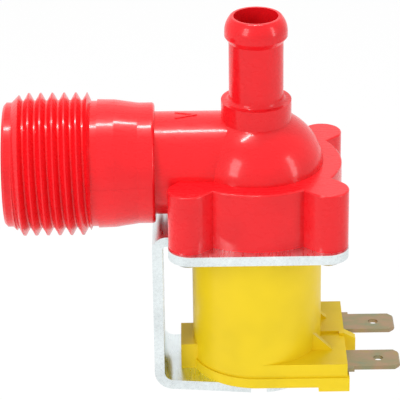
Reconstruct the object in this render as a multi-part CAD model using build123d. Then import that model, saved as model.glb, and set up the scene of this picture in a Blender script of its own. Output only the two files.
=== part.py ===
"""Diaphragm solenoid water valve with a horizontal hose-thread inlet, a vertical barbed outlet,
a zinc-plated yoke bracket and an encapsulated coil with two flat terminals.

The valve is laid out round its own axis: X runs along the inlet away from its mouth, Z runs up the
outlet, and z = 0 is the face where the moulded body stands on the yoke. save() moves every piece to
the row frame, whose origin is the middle of the two mounting holes on the yoke's outer face.
All sizes are in millimetres.
"""

import math
import os

from build123d import *

# Clearances
SEAT_GAP = 0.1  # round a piece that drops into a pocket
SLIDE_GAP = 0.15  # between the plunger and its guide
STOP_GAP = 0.05  # left at the end of the plunger's stroke
BORE_GAP = 0.05  # round a piece that slides on the guide or into the bobbin
SCREW_TIP_GAP = 0.8  # between a screw's tip and the end of its hole

# Inlet: 3/4-11.5 garden hose thread on the X axis; the lengths run from the leg to the mouth
INLET_AXIS_Z = 11.3
NECK_PAST_LEG = 0.8
NECK_L = 3.1
NECK_R = 11.4
NECK_ROUND = 0.6
TAPER_L = 4.4
SHOULDER_L = 3.2
SHOULDER_R = 12.05
RELIEF_L = 1.2
RELIEF_DEPTH = 0.2
THREAD_L = 14.75
THREAD_R = 13.49
THREAD_DEPTH = 1.44
THREAD_PITCH = 25.4 / 11.5
THREAD_FLAT = 0.27
THREAD_PHASE = 0.98  # first crest on top of the inlet, from the thread's start
LEAD_L = 1.65
LEAD_DROP = 0.1
MOUTH_BEVEL = 0.5
MOUTH_WALL = 2.65
REGULATOR_STEP = 1.4
REGULATOR_L = 6.0
PIPE_R = 9.7
PIPE_BORE_R = 6.2

# Body flange: a disc with four diagonal screw lugs
POCKET_R = 14.1
POCKET_H = 4.4
FLANGE_WALL = 2.0
FLANGE_H = 11.6
FLANGE_EDGE_ROUND = 0.3
SCREW_FROM_POCKET = 4.285  # from the pocket's wall to a screw's axis
LUG_R = 3.76
PILOT_HOLE_R = 1.25
PILOT_ROOF = 2.6

# Domed inlet chamber above the flange
DOME_R = 12.7
DOME_SUNK = 1.0  # the ellipsoid starts this far below the flange's top
DOME_RISE = 11.2
DOME_WALL = 2.0

# Outlet barb on the Z axis
BARB_R = 5.1
BARB_WALL = 0.93
BARB_COLLAR_W = 1.5
BARB_COLLAR_Z = 24.1
BARB_BULGE_W = 0.78
BARB_BULGE_LOW_Z = 35.8
BARB_LAND_LOW_Z = 36.9
BARB_LAND_HIGH_Z = 37.8
BARB_TIP_Z = 40.7
BARB_TIP_DROP = 0.35
BARB_TIP_ROUND = 0.35
BARB_FOOT_ROUND = 0.7
SEAT_WALL = 1.23
SEAT_RISE = 0.8  # the seat stands this far above the pocket's roof

# Flow arrow raised on top of the inlet pipe
ARROW_TIP_X = -11.2
ARROW_LENGTH = 4.0
ARROW_SPREAD = 2.6
ARROW_STROKE = 0.42
ARROW_RISE = 0.16

# Yoke bracket, bent from one strip
STEEL = 1.9
PLATE_PAST_SCREW_X = 3.8
PLATE_PAST_SCREW_Y = 4.7
PLATE_CORNER_R = 4.2
LEG_PAST_SCREW = 6.9
LEG_HALF_W = 9.2
YOKE_INSIDE = 28.8  # between the plate and the foot
BEND_R = 0.8  # inside radius of the bend beside the plate
FOOT_BEND_R = 1.8  # inside radius of the bend beside the foot
BEND_RELIEF = 1.6
FOOT_R = 11.1
FOOT_NOTCH_X = 0.1
FOOT_NOTCH_W = 3.0
FOOT_NOTCH_DEPTH = 1.6
FOOT_HOLE_R = 4.0
SCREW_CLEAR_R = 1.6
MOUNT_HOLE_R = 2.2
MOUNT_HOLE_SPACING = 12.7
MOUNT_RISE = 0.7  # the holes' middle above the middle of the leg

# Screws: thread-forming, pan head, from below
SCREW_HEAD_R = 2.75
SCREW_HEAD_H = 1.9
SCREW_HEAD_ROUND = 1.0
SCREW_SHANK_R = 1.24
RECESS_W = 0.7
RECESS_L = 3.0
RECESS_H = 1.1

# Plunger guide
GUIDE_BORE_R = 4.75
GUIDE_WALL = 0.6
GUIDE_DISC_H = 1.2
GUIDE_RIM_H = 2.4
GUIDE_RIM_W = 2.5
GUIDE_END_WALL = 0.8
GUIDE_ABOVE_FOOT = 4.4

# Diaphragm and its insert
BEAD_W = 2.3
WEB_H = 0.8
WEB_DROP = 0.3  # the web lies this far under the pocket's roof
PAD_PAST_SEAT = 1.1
PAD_H = 1.6
BLEED_R = 0.4
INSERT_HUB_R = 2.0
INSERT_DISC_INSET = 0.9
INSERT_DISC_H = 0.8
INSERT_CAP_GAP = 1.07
INSERT_CAP_H = 0.8
PILOT_NOZZLE_R = 1.2
PILOT_NOZZLE_H = 0.6
PILOT_BORE_R = 0.55

# Plunger, its rubber tip and its spring
STROKE = 3.2
TIP_R = 2.4
TIP_DEPTH = 1.8
TIP_PROUD = 1.2
SPRING_POCKET_R = 3.1
SPRING_POCKET_H = 8.2
SPRING_WIRE_R = 0.25
SPRING_MEAN_R = 2.6
SPRING_TURNS = 7
PLUNGER_GROOVE_W = 1.0

# Coil
COIL_R = 12.4
COIL_SIDE_WALL = 1.4
COIL_WALL = 1.0
COIL_TOP_ROUND = 0.5
BASE_LIP = 0.4
BASE_H = 2.0
BLOCK_TOP_ABOVE = 4.8  # terminal block's top above the coil's underside
BLOCK_STEP = 0.5  # the block's rear half stands this much higher
BLOCK_PAST_COIL = 4.6
STEP_L = 5.5
STEP_H = 0.9
LUG_FROM_LEG = 3.2
LUG_HALF_W = 4.4
LUG_H = 5.2
GUSSET_Y = 6.0
GUSSET_T = 1.4
GUSSET_RISE = 3.4
GUSSET_PAST_COIL = 2.0
BARRIER_T = 1.8
BARRIER_L = 2.2
BARRIER_DROP = 1.2
BARRIER_H = 4.2
SLEEVE_WALL = 1.05
UPPER_SLEEVE_H = 7.0
LOWER_SLEEVE_H = 11.5
BOBBIN_WALL = 0.85
BOBBIN_CHEEK_H = 1.2
WINDING_INSET = 0.4  # under the edge of the bobbin's cheeks
TAPE_H = 0.15
LEAD_WIRE_R = 0.25

# Flat terminals, 6.35 by 0.8
TAB_W = 6.35
TAB_T = 0.8
TAB_FROM_COIL_SIDE = 5.0
TAB_BURIED = 4.5
TAB_L = 10.3  # outside the block
TAB_TOP_ABOVE = 3.35  # tab's upper face above the coil's underside
TAB_HOLE_R = 0.95
TAB_HOLE_FROM_END = 4.1
TAB_BEVEL = 1.1
TAB_SHOULDER_W = 0.8
TAB_SHOULDER_L = 1.4
TAB_EDGE_BEVEL = 0.25

# Inlet strainer and flow regulator
STRAINER_RIM_H = 2.0
STRAINER_RIM_W = 1.5
STRAINER_INSET = 2.0
STRAINER_LENGTH = 9.0
STRAINER_RIBS = 6
STRAINER_RIB_W = 1.0
STRAINER_CAP_H = 1.0
SCREEN_T = 0.25
WASHER_H = 3.0
WASHER_HOLE_R = 2.6
HOLDER_H = 2.6
HOLDER_W = 1.4

# Bracket and flange: places that follow from the sizes above
SCREW_AT = (POCKET_R + SCREW_FROM_POCKET) / math.sqrt(2)
SCREW_PLACES = [(sx * SCREW_AT, sy * SCREW_AT) for sx in (-1, 1) for sy in (-1, 1)]
FLANGE_R = POCKET_R + FLANGE_WALL
DOME_FOOT_Z = FLANGE_H - DOME_SUNK
PILOT_HOLE_H = FLANGE_H - PILOT_ROOF
SCREW_REACH = PILOT_HOLE_H - SCREW_TIP_GAP
PLATE_END_X = SCREW_AT + PLATE_PAST_SCREW_X
PLATE_HALF_W = SCREW_AT + PLATE_PAST_SCREW_Y
PLATE_LOW_Z = -STEEL
FOOT_TOP_Z = PLATE_LOW_Z - YOKE_INSIDE
LEG_OUTER_X = -SCREW_AT - LEG_PAST_SCREW
LEG_INNER_X = LEG_OUTER_X + STEEL
MOUNT_MID_Z = (PLATE_LOW_Z + FOOT_TOP_Z) / 2 + MOUNT_RISE
ROW_ORIGIN = (LEG_OUTER_X, 0.0, MOUNT_MID_Z)

# Inlet: places and radii that follow
NECK_END_X = LEG_OUTER_X + NECK_PAST_LEG
TAPER_END_X = NECK_END_X - NECK_L
TAPER_START_X = TAPER_END_X - TAPER_L
RELIEF_END_X = TAPER_START_X - SHOULDER_L
THREAD_END_X = RELIEF_END_X - RELIEF_L
THREAD_START_X = THREAD_END_X - THREAD_L
INLET_END_X = THREAD_START_X - LEAD_L
THREAD_ROOT_R = THREAD_R - THREAD_DEPTH
RELIEF_R = THREAD_ROOT_R - RELIEF_DEPTH
LEAD_R = RELIEF_R - LEAD_DROP
MOUTH_BORE_R = THREAD_ROOT_R - MOUTH_WALL
REGULATOR_BORE_R = MOUTH_BORE_R - REGULATOR_STEP
STRAINER_R = MOUTH_BORE_R - STRAINER_INSET
STRAINER_SEAT_X = THREAD_END_X
REGULATOR_SEAT_X = STRAINER_SEAT_X + REGULATOR_L

# Outlet, seat and pilot stage: radii and levels that follow
OUTLET_BORE_R = BARB_R - BARB_WALL
BARB_COLLAR_R = BARB_R + BARB_COLLAR_W
BARB_BULGE_R = BARB_R + BARB_BULGE_W
BARB_TIP_R = BARB_R - BARB_TIP_DROP
SEAT_TUBE_R = OUTLET_BORE_R + SEAT_WALL
SEAT_Z = POCKET_H + SEAT_RISE
WEB_TOP_Z = POCKET_H - WEB_DROP
PAD_R = SEAT_TUBE_R + PAD_PAST_SEAT
PAD_LOW_Z = SEAT_Z - PAD_H
BLEED_AT_R = (PAD_R + POCKET_R - SEAT_GAP - BEAD_W) / 2
INSERT_DISC_R = PAD_R - INSERT_DISC_INSET
INSERT_CAP_R = OUTLET_BORE_R - INSERT_CAP_GAP
NOZZLE_LOW_Z = PAD_LOW_Z - INSERT_DISC_H - PILOT_NOZZLE_H
GUIDE_R = GUIDE_BORE_R + GUIDE_WALL
GUIDE_END_Z = FOOT_TOP_Z + GUIDE_ABOVE_FOOT + GUIDE_END_WALL
PLUNGER_R = GUIDE_BORE_R - SLIDE_GAP
PLUNGER_TOP_Z = NOZZLE_LOW_Z - TIP_PROUD
PLUNGER_LOW_Z = GUIDE_END_Z + STROKE + STOP_GAP
SPRING_TOP_Z = PLUNGER_LOW_Z + SPRING_POCKET_H

# Coil and terminals: radii, levels and places that follow
SLEEVE_BORE_R = GUIDE_R + SEAT_GAP
SLEEVE_R = SLEEVE_BORE_R + SLEEVE_WALL
BOBBIN_BORE_R = SLEEVE_R + BORE_GAP
BOBBIN_R = BOBBIN_BORE_R + BOBBIN_WALL
BOBBIN_CHEEK_R = COIL_R - COIL_SIDE_WALL
WINDING_R = BOBBIN_CHEEK_R - WINDING_INSET
TAPE_R = WINDING_R + TAPE_H
BASE_R = COIL_R + BASE_LIP
COIL_TOP_Z = PLATE_LOW_Z
COIL_LOW_Z = FOOT_TOP_Z
BOBBIN_TOP_Z = COIL_TOP_Z - COIL_WALL
BOBBIN_LOW_Z = COIL_LOW_Z + COIL_WALL
BLOCK_TOP_Z = COIL_LOW_Z + BLOCK_TOP_ABOVE
BLOCK_END_X = COIL_R + BLOCK_PAST_COIL
BARRIER_END_X = BLOCK_END_X + BARRIER_L
GUSSET_END_X = COIL_R + GUSSET_PAST_COIL
STEP_START_X = BLOCK_END_X - STEP_L
LUG_END_X = LEG_INNER_X + LUG_FROM_LEG
TAB_Y = COIL_R - TAB_FROM_COIL_SIDE
TAB_ROOT_X = BLOCK_END_X - TAB_BURIED
TAB_END_X = BLOCK_END_X + TAB_L
TAB_HOLE_X = TAB_END_X - TAB_HOLE_FROM_END
TAB_SHOULDER_END_X = BLOCK_END_X + TAB_SHOULDER_L
TAB_TOP_Z = COIL_LOW_Z + TAB_TOP_ABOVE


def save(name, shape):
    """Writes one node, moved to the row frame."""
    parts = shape if isinstance(shape, list) else [shape]
    x, y, z = ROW_ORIGIN
    moved = [Pos(-x, -y, -z) * part for part in parts]
    export_step(Compound(children=moved) if len(moved) > 1 else moved[0], f"parts/{name}.step")


def disc(radius, low, high):
    """An upright cylinder between two levels."""
    return Pos(0, 0, low) * extrude(Circle(radius), high - low)


def ring(inner, outer, low, high):
    """An upright tube between two levels."""
    return disc(outer, low, high) - disc(inner, low - 1, high + 1)


def pipe(inner, outer, left, right):
    """A tube on the inlet's axis between two places along X."""
    outside = Plane.YZ.offset(left) * Circle(outer)
    tube = extrude(outside, right - left)
    if inner > 0:
        tube -= extrude(Plane.YZ.offset(left - 1) * Circle(inner), right - left + 2)
    return Pos(0, 0, INLET_AXIS_Z) * tube


def block(low, high):
    """A box from its lowest corner to its highest."""
    size = [b - a for a, b in zip(low, high)]
    middle = [(a + b) / 2 for a, b in zip(low, high)]
    return Pos(*middle) * Box(*size)


def turned(points, axis):
    """A solid of revolution: about Z from (radius, z) points, or about X from (x, radius) ones."""
    flat = make_face(Polyline(*points, close=True))
    if axis == Axis.Z:
        return revolve(Plane.XZ * flat, Axis.Z)
    return Pos(0, 0, INLET_AXIS_Z) * revolve(Plane.XZ * flat, Axis.X)


# ---------------------------------------------------------------- moulded body


def thread_cutters(length):
    """The V groove as half turns laid end to end, from a pitch below the sleeve to one above."""
    over = 0.12  # the cutters stand this far out of the crest
    crest_half = (THREAD_PITCH - THREAD_FLAT) / 2
    flank = (crest_half - THREAD_FLAT / 2) / THREAD_DEPTH
    wide = crest_half + flank * over
    radial = Plane(origin=(THREAD_ROOT_R, 0, 0), x_dir=(1, 0, 0), z_dir=(0, 1, 0))
    section = radial * make_face(
        Polyline(
            (0, -THREAD_FLAT / 2),
            (THREAD_DEPTH + over, -wide),
            (THREAD_DEPTH + over, wide),
            (0, THREAD_FLAT / 2),
            close=True,
        )
    )
    path = Helix(THREAD_PITCH, THREAD_PITCH / 2, THREAD_ROOT_R)
    half_turn = sweep(section, path=path, is_frenet=True)
    count = 2 * math.ceil(length / THREAD_PITCH + 2)
    return [Pos(0, 0, (k / 2 - 1) * THREAD_PITCH) * Rot(0, 0, 180 * k) * half_turn for k in range(count)]


def threaded_ring():
    """The male hose thread: a V groove cut round an upright sleeve, which is then tipped onto X."""
    foot = (THREAD_ROOT_R + RELIEF_R) / 2
    inner = (MOUTH_BORE_R + RELIEF_R) / 2
    sleeve = turned(
        [
            (inner, 0),
            (foot, 0),
            (THREAD_R, THREAD_R - foot),
            (THREAD_R, THREAD_L - THREAD_DEPTH / 2),
            (foot, THREAD_L),
            (inner, THREAD_L),
        ],
        Axis.Z,
    )
    threaded = Rot(0, 0, -360 * THREAD_PHASE / THREAD_PITCH) * (sleeve - thread_cutters(THREAD_L))
    return Pos(THREAD_START_X, 0, INLET_AXIS_Z) * Rot(0, 90, 0) * threaded


def flange_outline():
    """The body's disc with its four diagonal lugs."""
    outline = Circle(FLANGE_R)
    for x, y in SCREW_PLACES:
        turn = math.degrees(math.atan2(y, x))
        reach = math.hypot(x, y)
        outline += Pos(x, y) * Circle(LUG_R)
        outline += Rot(0, 0, turn) * Pos(reach / 2, 0) * Rectangle(reach, 2 * LUG_R)
    return outline


def dome(radius, rise, low):
    """A cylinder up to the dome's foot, closed by half an ellipsoid."""
    cap = (Pos(0, 0, 0) * Sphere(radius)) & disc(radius + 1, 0, radius + 1)
    cap = scale(cap, by=(1, 1, rise / radius))
    return disc(radius, low, DOME_FOOT_Z) + Pos(0, 0, DOME_FOOT_Z) * cap


def outlet_barb():
    """The outlet's collar and barb, outside only."""
    lower = Polyline(
        (0, BARB_TIP_Z),
        (0, FLANGE_H),
        (BARB_COLLAR_R, FLANGE_H),
        (BARB_COLLAR_R, BARB_COLLAR_Z),
        (BARB_R, BARB_COLLAR_Z),
        (BARB_R, BARB_BULGE_LOW_Z),
        (BARB_BULGE_R, BARB_LAND_LOW_Z),
        (BARB_BULGE_R, BARB_LAND_HIGH_Z),
    )
    nose = TangentArc((BARB_BULGE_R, BARB_LAND_HIGH_Z), (BARB_TIP_R, BARB_TIP_Z), tangent=(0, 1))
    close = Line((BARB_TIP_R, BARB_TIP_Z), (0, BARB_TIP_Z))
    barb = revolve(Plane.XZ * make_face([lower, nose, close]), Axis.Z)
    barb = fillet(barb.edges().filter_by(GeomType.CIRCLE).group_by(Axis.Z)[-1], BARB_TIP_ROUND)
    foot = [
        e
        for e in barb.edges().filter_by(GeomType.CIRCLE)
        if abs(e.center().Z - BARB_COLLAR_Z) < 0.01 and abs(e.radius - BARB_R) < 0.01
    ]
    return fillet(foot, BARB_FOOT_ROUND)


def inlet_outside():
    """The inlet from its mouth to the chamber, solid and without its thread."""
    outline = [
        (INLET_END_X, 0),
        (INLET_END_X, LEAD_R - MOUTH_BEVEL),
        (INLET_END_X + MOUTH_BEVEL, LEAD_R),
        (THREAD_START_X + THREAD_PITCH, LEAD_R),
        (THREAD_END_X - THREAD_PITCH, RELIEF_R),
        (RELIEF_END_X, RELIEF_R),
        (RELIEF_END_X, SHOULDER_R + SEAT_GAP),
        (TAPER_START_X, SHOULDER_R),
        (TAPER_END_X, NECK_R),
        (NECK_END_X, NECK_R),
        (NECK_END_X, PIPE_R),
        (0, PIPE_R),
        (0, 0),
    ]
    solid = turned(outline, Axis.X)
    end = [
        e
        for e in solid.edges().filter_by(GeomType.CIRCLE)
        if abs(e.center().X - NECK_END_X) < 0.01 and abs(e.radius - NECK_R) < 0.01
    ]
    return fillet(end, NECK_ROUND)


def flow_arrow():
    """A chevron raised on the crown of the inlet pipe, pointing the way the water goes."""
    strokes = Sketch()
    for side in (-1, 1):
        tail = (ARROW_TIP_X - ARROW_LENGTH, side * ARROW_SPREAD / 2)
        line = Line((ARROW_TIP_X, 0), tail)
        strokes += trace(line, ARROW_STROKE)
    upright = Pos(0, 0, INLET_AXIS_Z) * extrude(strokes, PIPE_R + 2 * ARROW_RISE)
    skin = pipe(PIPE_R - ARROW_RISE, PIPE_R + ARROW_RISE, NECK_END_X, 0)
    return upright & skin


def valve_body():
    """The moulded body: inlet, chamber, outlet and flange in one piece."""
    flange = extrude(flange_outline(), FLANGE_H)
    flange = fillet(flange.edges().group_by(Axis.Z)[-1], FLANGE_EDGE_ROUND)
    outside = flange + dome(DOME_R, DOME_RISE, 0)
    outside += inlet_outside() + threaded_ring() + outlet_barb() + flow_arrow()
    seat_tube = disc(SEAT_TUBE_R, SEAT_Z, DOME_FOOT_Z + DOME_RISE)
    chamber = dome(DOME_R - DOME_WALL, DOME_RISE - DOME_WALL, POCKET_H)
    waterway = pipe(0, PIPE_BORE_R, REGULATOR_SEAT_X, 0)
    hollow = (chamber + waterway) - seat_tube
    body = outside - hollow
    body -= disc(POCKET_R, -1, POCKET_H)
    body -= disc(OUTLET_BORE_R, 0, BARB_TIP_Z + 1)
    body -= pipe(0, MOUTH_BORE_R, INLET_END_X - 1, STRAINER_SEAT_X)
    body -= pipe(0, REGULATOR_BORE_R, STRAINER_SEAT_X - 1, REGULATOR_SEAT_X)
    for x, y in SCREW_PLACES:
        body -= Pos(x, y) * disc(PILOT_HOLE_R, -1, PILOT_HOLE_H)
    return body


# ---------------------------------------------------------------- bracket and screws


def bent_strip(bend_r):
    """The strip's section in the XZ plane, with both bends of one inside radius."""
    outer_r = bend_r + STEEL
    far = PLATE_END_X + 2 * outer_r
    low = FOOT_TOP_Z - STEEL
    outside = Pos((LEG_OUTER_X + far) / 2, low / 2) * RectangleRounded(
        far - LEG_OUTER_X, -low, outer_r
    )
    inside = Pos((LEG_INNER_X + far) / 2, (PLATE_LOW_Z + FOOT_TOP_Z) / 2) * RectangleRounded(
        far - LEG_INNER_X, YOKE_INSIDE, bend_r
    )
    keep = Pos((LEG_OUTER_X + PLATE_END_X) / 2, low / 2) * Rectangle(
        PLATE_END_X - LEG_OUTER_X, -low
    )
    return (outside - inside) & keep


def yoke_profile():
    """The strip's bent section: plate, leg and foot, each bend with its own radius."""
    low = FOOT_TOP_Z - STEEL
    half = Pos(0, low * 3 / 4) * Rectangle(4 * PLATE_END_X, -low / 2)
    return (bent_strip(BEND_R) - half) + (bent_strip(FOOT_BEND_R) & half)


def plate_outline():
    """The plate in plan, with its relief beside the bend."""
    plate = RectangleRounded(2 * PLATE_END_X, 2 * PLATE_HALF_W, PLATE_CORNER_R)
    edge = LEG_INNER_X + BEND_R
    strip = Pos((LEG_OUTER_X + edge) / 2, 0) * Rectangle(edge - LEG_OUTER_X + 1, 2 * LEG_HALF_W)
    for side in (-1, 1):
        relief = Pos(LEG_INNER_X, side * (LEG_HALF_W + BEND_RELIEF / 2))
        plate -= relief * SlotCenterToCenter(2 * BEND_RELIEF, BEND_RELIEF)
    return plate + strip


def foot_outline():
    """The foot in plan: it flares from the leg to a round end, with a notch for the coil's key."""
    edge = LEG_INNER_X + FOOT_BEND_R
    touch = FOOT_R * math.cos(math.radians(100))
    foot = make_face(
        Polyline(
            (LEG_OUTER_X - 1, -LEG_HALF_W),
            (edge, -LEG_HALF_W),
            (touch, -FOOT_R * math.sin(math.radians(100))),
            (touch, FOOT_R * math.sin(math.radians(100))),
            (edge, LEG_HALF_W),
            (LEG_OUTER_X - 1, LEG_HALF_W),
            close=True,
        )
    )
    foot += Circle(FOOT_R)
    for side in (-1, 1):
        notch = Pos(FOOT_NOTCH_X, side * FOOT_R)
        foot -= notch * Rectangle(FOOT_NOTCH_W, 2 * FOOT_NOTCH_DEPTH)
    return foot


def yoke_bracket():
    """The steel yoke that clamps the coil under the body and carries the valve."""
    solid = extrude(Plane.XZ * yoke_profile(), PLATE_HALF_W + 1, both=True)
    upper = extrude(Pos(0, 0, PLATE_LOW_Z - BEND_R) * plate_outline(), -PLATE_LOW_Z + BEND_R + 1)
    lower = extrude(Pos(0, 0, FOOT_TOP_Z - STEEL - 1) * foot_outline(), STEEL + FOOT_BEND_R + 1)
    leg = block(
        (LEG_OUTER_X - 1, -LEG_HALF_W, FOOT_TOP_Z + FOOT_BEND_R),
        (LEG_INNER_X + BEND_R, LEG_HALF_W, PLATE_LOW_Z - BEND_R),
    )
    yoke = solid & (upper + lower + leg)
    yoke -= disc(GUIDE_R + SEAT_GAP, PLATE_LOW_Z - 1, 1)
    yoke -= disc(FOOT_HOLE_R, FOOT_TOP_Z - STEEL - 1, FOOT_TOP_Z + 1)
    for x, y in SCREW_PLACES:
        yoke -= Pos(x, y) * disc(SCREW_CLEAR_R, PLATE_LOW_Z - 1, 1)
    for side in (-1, 1):
        z = MOUNT_MID_Z + side * MOUNT_HOLE_SPACING / 2
        hole = Plane.YZ.offset(LEG_OUTER_X - 1) * Circle(MOUNT_HOLE_R)
        yoke -= Pos(0, 0, z) * extrude(hole, STEEL + 2)
    return yoke


def screw():
    """One thread-forming screw, head down, standing on the Z axis."""
    head = disc(SCREW_HEAD_R, PLATE_LOW_Z - SCREW_HEAD_H, PLATE_LOW_Z)
    head = fillet(head.edges().group_by(Axis.Z)[0], SCREW_HEAD_ROUND)
    for turn in (0, 90):
        slot = Pos(0, 0, PLATE_LOW_Z - SCREW_HEAD_H + RECESS_H / 2) * Box(
            RECESS_L, RECESS_W, RECESS_H
        )
        head -= Rot(0, 0, turn) * slot
    shank = disc(SCREW_SHANK_R, PLATE_LOW_Z, SCREW_REACH)
    shank = chamfer(shank.edges().group_by(Axis.Z)[-1], SCREW_SHANK_R / 2)
    return head + shank


def screws():
    return [Pos(x, y) * screw() for x, y in SCREW_PLACES]


# ---------------------------------------------------------------- pilot stage


def plunger_guide():
    """A closed tube for the plunger, with a cupped disc that clamps the diaphragm's bead."""
    disc_r = POCKET_R - SEAT_GAP
    guide = disc(disc_r, 0, GUIDE_RIM_H) - disc(disc_r - GUIDE_RIM_W, GUIDE_DISC_H, GUIDE_RIM_H + 1)
    guide += disc(GUIDE_R, GUIDE_END_Z - GUIDE_END_WALL, GUIDE_DISC_H)
    return guide - disc(GUIDE_BORE_R, GUIDE_END_Z, GUIDE_RIM_H + 1)


def diaphragm():
    """The rubber diaphragm: clamped bead, thin web with a bleed hole, and seat pad."""
    outer_r = POCKET_R - SEAT_GAP
    bead = ring(outer_r - BEAD_W, outer_r, GUIDE_RIM_H, POCKET_H)
    web = ring(INSERT_HUB_R, outer_r - BEAD_W, WEB_TOP_Z - WEB_H, WEB_TOP_Z)
    pad = ring(INSERT_HUB_R, PAD_R, PAD_LOW_Z, SEAT_Z)
    web -= disc(PAD_R, 0, PAD_LOW_Z)
    bleed = Pos(BLEED_AT_R, 0) * disc(BLEED_R, 0, POCKET_H)
    return bead + web + pad - bleed


def diaphragm_insert():
    """The plastic insert through the diaphragm, with the pilot hole that the plunger shuts."""
    insert = disc(INSERT_DISC_R, PAD_LOW_Z - INSERT_DISC_H, PAD_LOW_Z)
    insert += disc(INSERT_HUB_R, PAD_LOW_Z, SEAT_Z)
    insert += disc(INSERT_CAP_R, SEAT_Z, SEAT_Z + INSERT_CAP_H)
    insert += disc(PILOT_NOZZLE_R, NOZZLE_LOW_Z, PAD_LOW_Z)
    return insert - disc(PILOT_BORE_R, NOZZLE_LOW_Z - 1, SEAT_Z + INSERT_CAP_H + 1)


def plunger():
    """The steel armature, with two flow grooves and pockets for its tip and spring."""
    rod = disc(PLUNGER_R, PLUNGER_LOW_Z, PLUNGER_TOP_Z)
    rod = chamfer(rod.edges().group_by(Axis.Z)[0], 0.4)
    rod -= disc(TIP_R, PLUNGER_TOP_Z - TIP_DEPTH, PLUNGER_TOP_Z + 1)
    rod -= disc(SPRING_POCKET_R, PLUNGER_LOW_Z - 1, SPRING_TOP_Z)
    for side in (-1, 1):
        groove = Pos(side * PLUNGER_R, 0, (PLUNGER_LOW_Z + PLUNGER_TOP_Z) / 2)
        rod -= groove * Box(
            PLUNGER_GROOVE_W, PLUNGER_GROOVE_W, PLUNGER_TOP_Z - PLUNGER_LOW_Z + 1
        )
    return rod


def plunger_tip():
    return disc(TIP_R, PLUNGER_TOP_Z - TIP_DEPTH, NOZZLE_LOW_Z)


def plunger_spring():
    """The return spring, from the guide's closed end to the plunger's pocket."""
    low = GUIDE_END_Z + SPRING_WIRE_R
    height = SPRING_TOP_Z - GUIDE_END_Z - 2 * SPRING_WIRE_R
    path = Helix(height / SPRING_TURNS, height, SPRING_MEAN_R)
    start = Plane(origin=path @ 0, z_dir=path % 0)
    return Pos(0, 0, low) * sweep(start * Circle(SPRING_WIRE_R), path=path, is_frenet=True)


# ---------------------------------------------------------------- coil


def terminal(side):
    """One flat terminal, lying level, with its hole and bevelled nose."""
    y = side * TAB_Y
    tab = block(
        (TAB_ROOT_X, y - TAB_W / 2, TAB_TOP_Z - TAB_T), (TAB_END_X, y + TAB_W / 2, TAB_TOP_Z)
    )
    nose = tab.edges().filter_by(Axis.Z).group_by(Axis.X)[-1]
    tab = chamfer(nose, TAB_BEVEL)
    brink = tab.faces().sort_by(Axis.X)[-1].edges().filter_by(Axis.Y)
    tab = chamfer(brink, TAB_EDGE_BEVEL)
    edge = y + side * TAB_W / 2
    tab += block(
        (TAB_ROOT_X, min(edge, edge + side * TAB_SHOULDER_W), TAB_TOP_Z - TAB_T),
        (TAB_SHOULDER_END_X, max(edge, edge + side * TAB_SHOULDER_W), TAB_TOP_Z),
    )
    return tab - Pos(TAB_HOLE_X, y) * disc(TAB_HOLE_R, TAB_TOP_Z - TAB_T - 1, TAB_TOP_Z + 1)


def lead_wire(side):
    """A winding lead from the copper to a terminal's buried root."""
    y = side * TAB_Y
    start = math.sqrt(WINDING_R**2 - (abs(y) + LEAD_WIRE_R) ** 2)
    wire = Plane.YZ.offset(start) * Circle(LEAD_WIRE_R)
    wire = Pos(0, y, TAB_TOP_Z - TAB_T / 2) * extrude(wire, TAB_ROOT_X - start)
    return wire - disc(WINDING_R, COIL_LOW_Z, COIL_TOP_Z)


def bobbin():
    """The spool that the wire is wound on."""
    spool = ring(BOBBIN_BORE_R, BOBBIN_R, BOBBIN_LOW_Z, BOBBIN_TOP_Z)
    spool += ring(BOBBIN_BORE_R, BOBBIN_CHEEK_R, BOBBIN_TOP_Z - BOBBIN_CHEEK_H, BOBBIN_TOP_Z)
    return spool + ring(
        BOBBIN_BORE_R, BOBBIN_CHEEK_R, BOBBIN_LOW_Z, BOBBIN_LOW_Z + BOBBIN_CHEEK_H
    )


def between_cheeks(inner, outer):
    """A sleeve that fills the spool's width."""
    return ring(inner, outer, BOBBIN_LOW_Z + BOBBIN_CHEEK_H, BOBBIN_TOP_Z - BOBBIN_CHEEK_H)


def gusset(side):
    """A small triangular rib between the coil's side and the terminal block."""
    wall_x = math.sqrt(COIL_R**2 - GUSSET_Y**2)
    slope = GUSSET_RISE / (GUSSET_END_X - wall_x)
    low = BLOCK_TOP_Z - 1
    face = Plane.XZ * make_face(
        Polyline(
            (wall_x - 1, low),
            (wall_x - 1, BLOCK_TOP_Z + GUSSET_RISE + slope),
            (GUSSET_END_X, BLOCK_TOP_Z),
            (GUSSET_END_X, low),
            close=True,
        )
    )
    return Pos(0, side * GUSSET_Y, 0) * extrude(face, GUSSET_T / 2, both=True)


def barrier():
    """The wall that keeps the two terminals' receptacles apart."""
    top = BLOCK_TOP_Z + BLOCK_STEP
    face = Plane.XZ * make_face(
        Polyline(
            (BLOCK_END_X - 1, top - BARRIER_H),
            (BLOCK_END_X - 1, top),
            (BLOCK_END_X, top),
            (BARRIER_END_X, top - BARRIER_DROP),
            (BARRIER_END_X, top - BARRIER_H),
            close=True,
        )
    )
    return extrude(face, BARRIER_T / 2, both=True)


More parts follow.
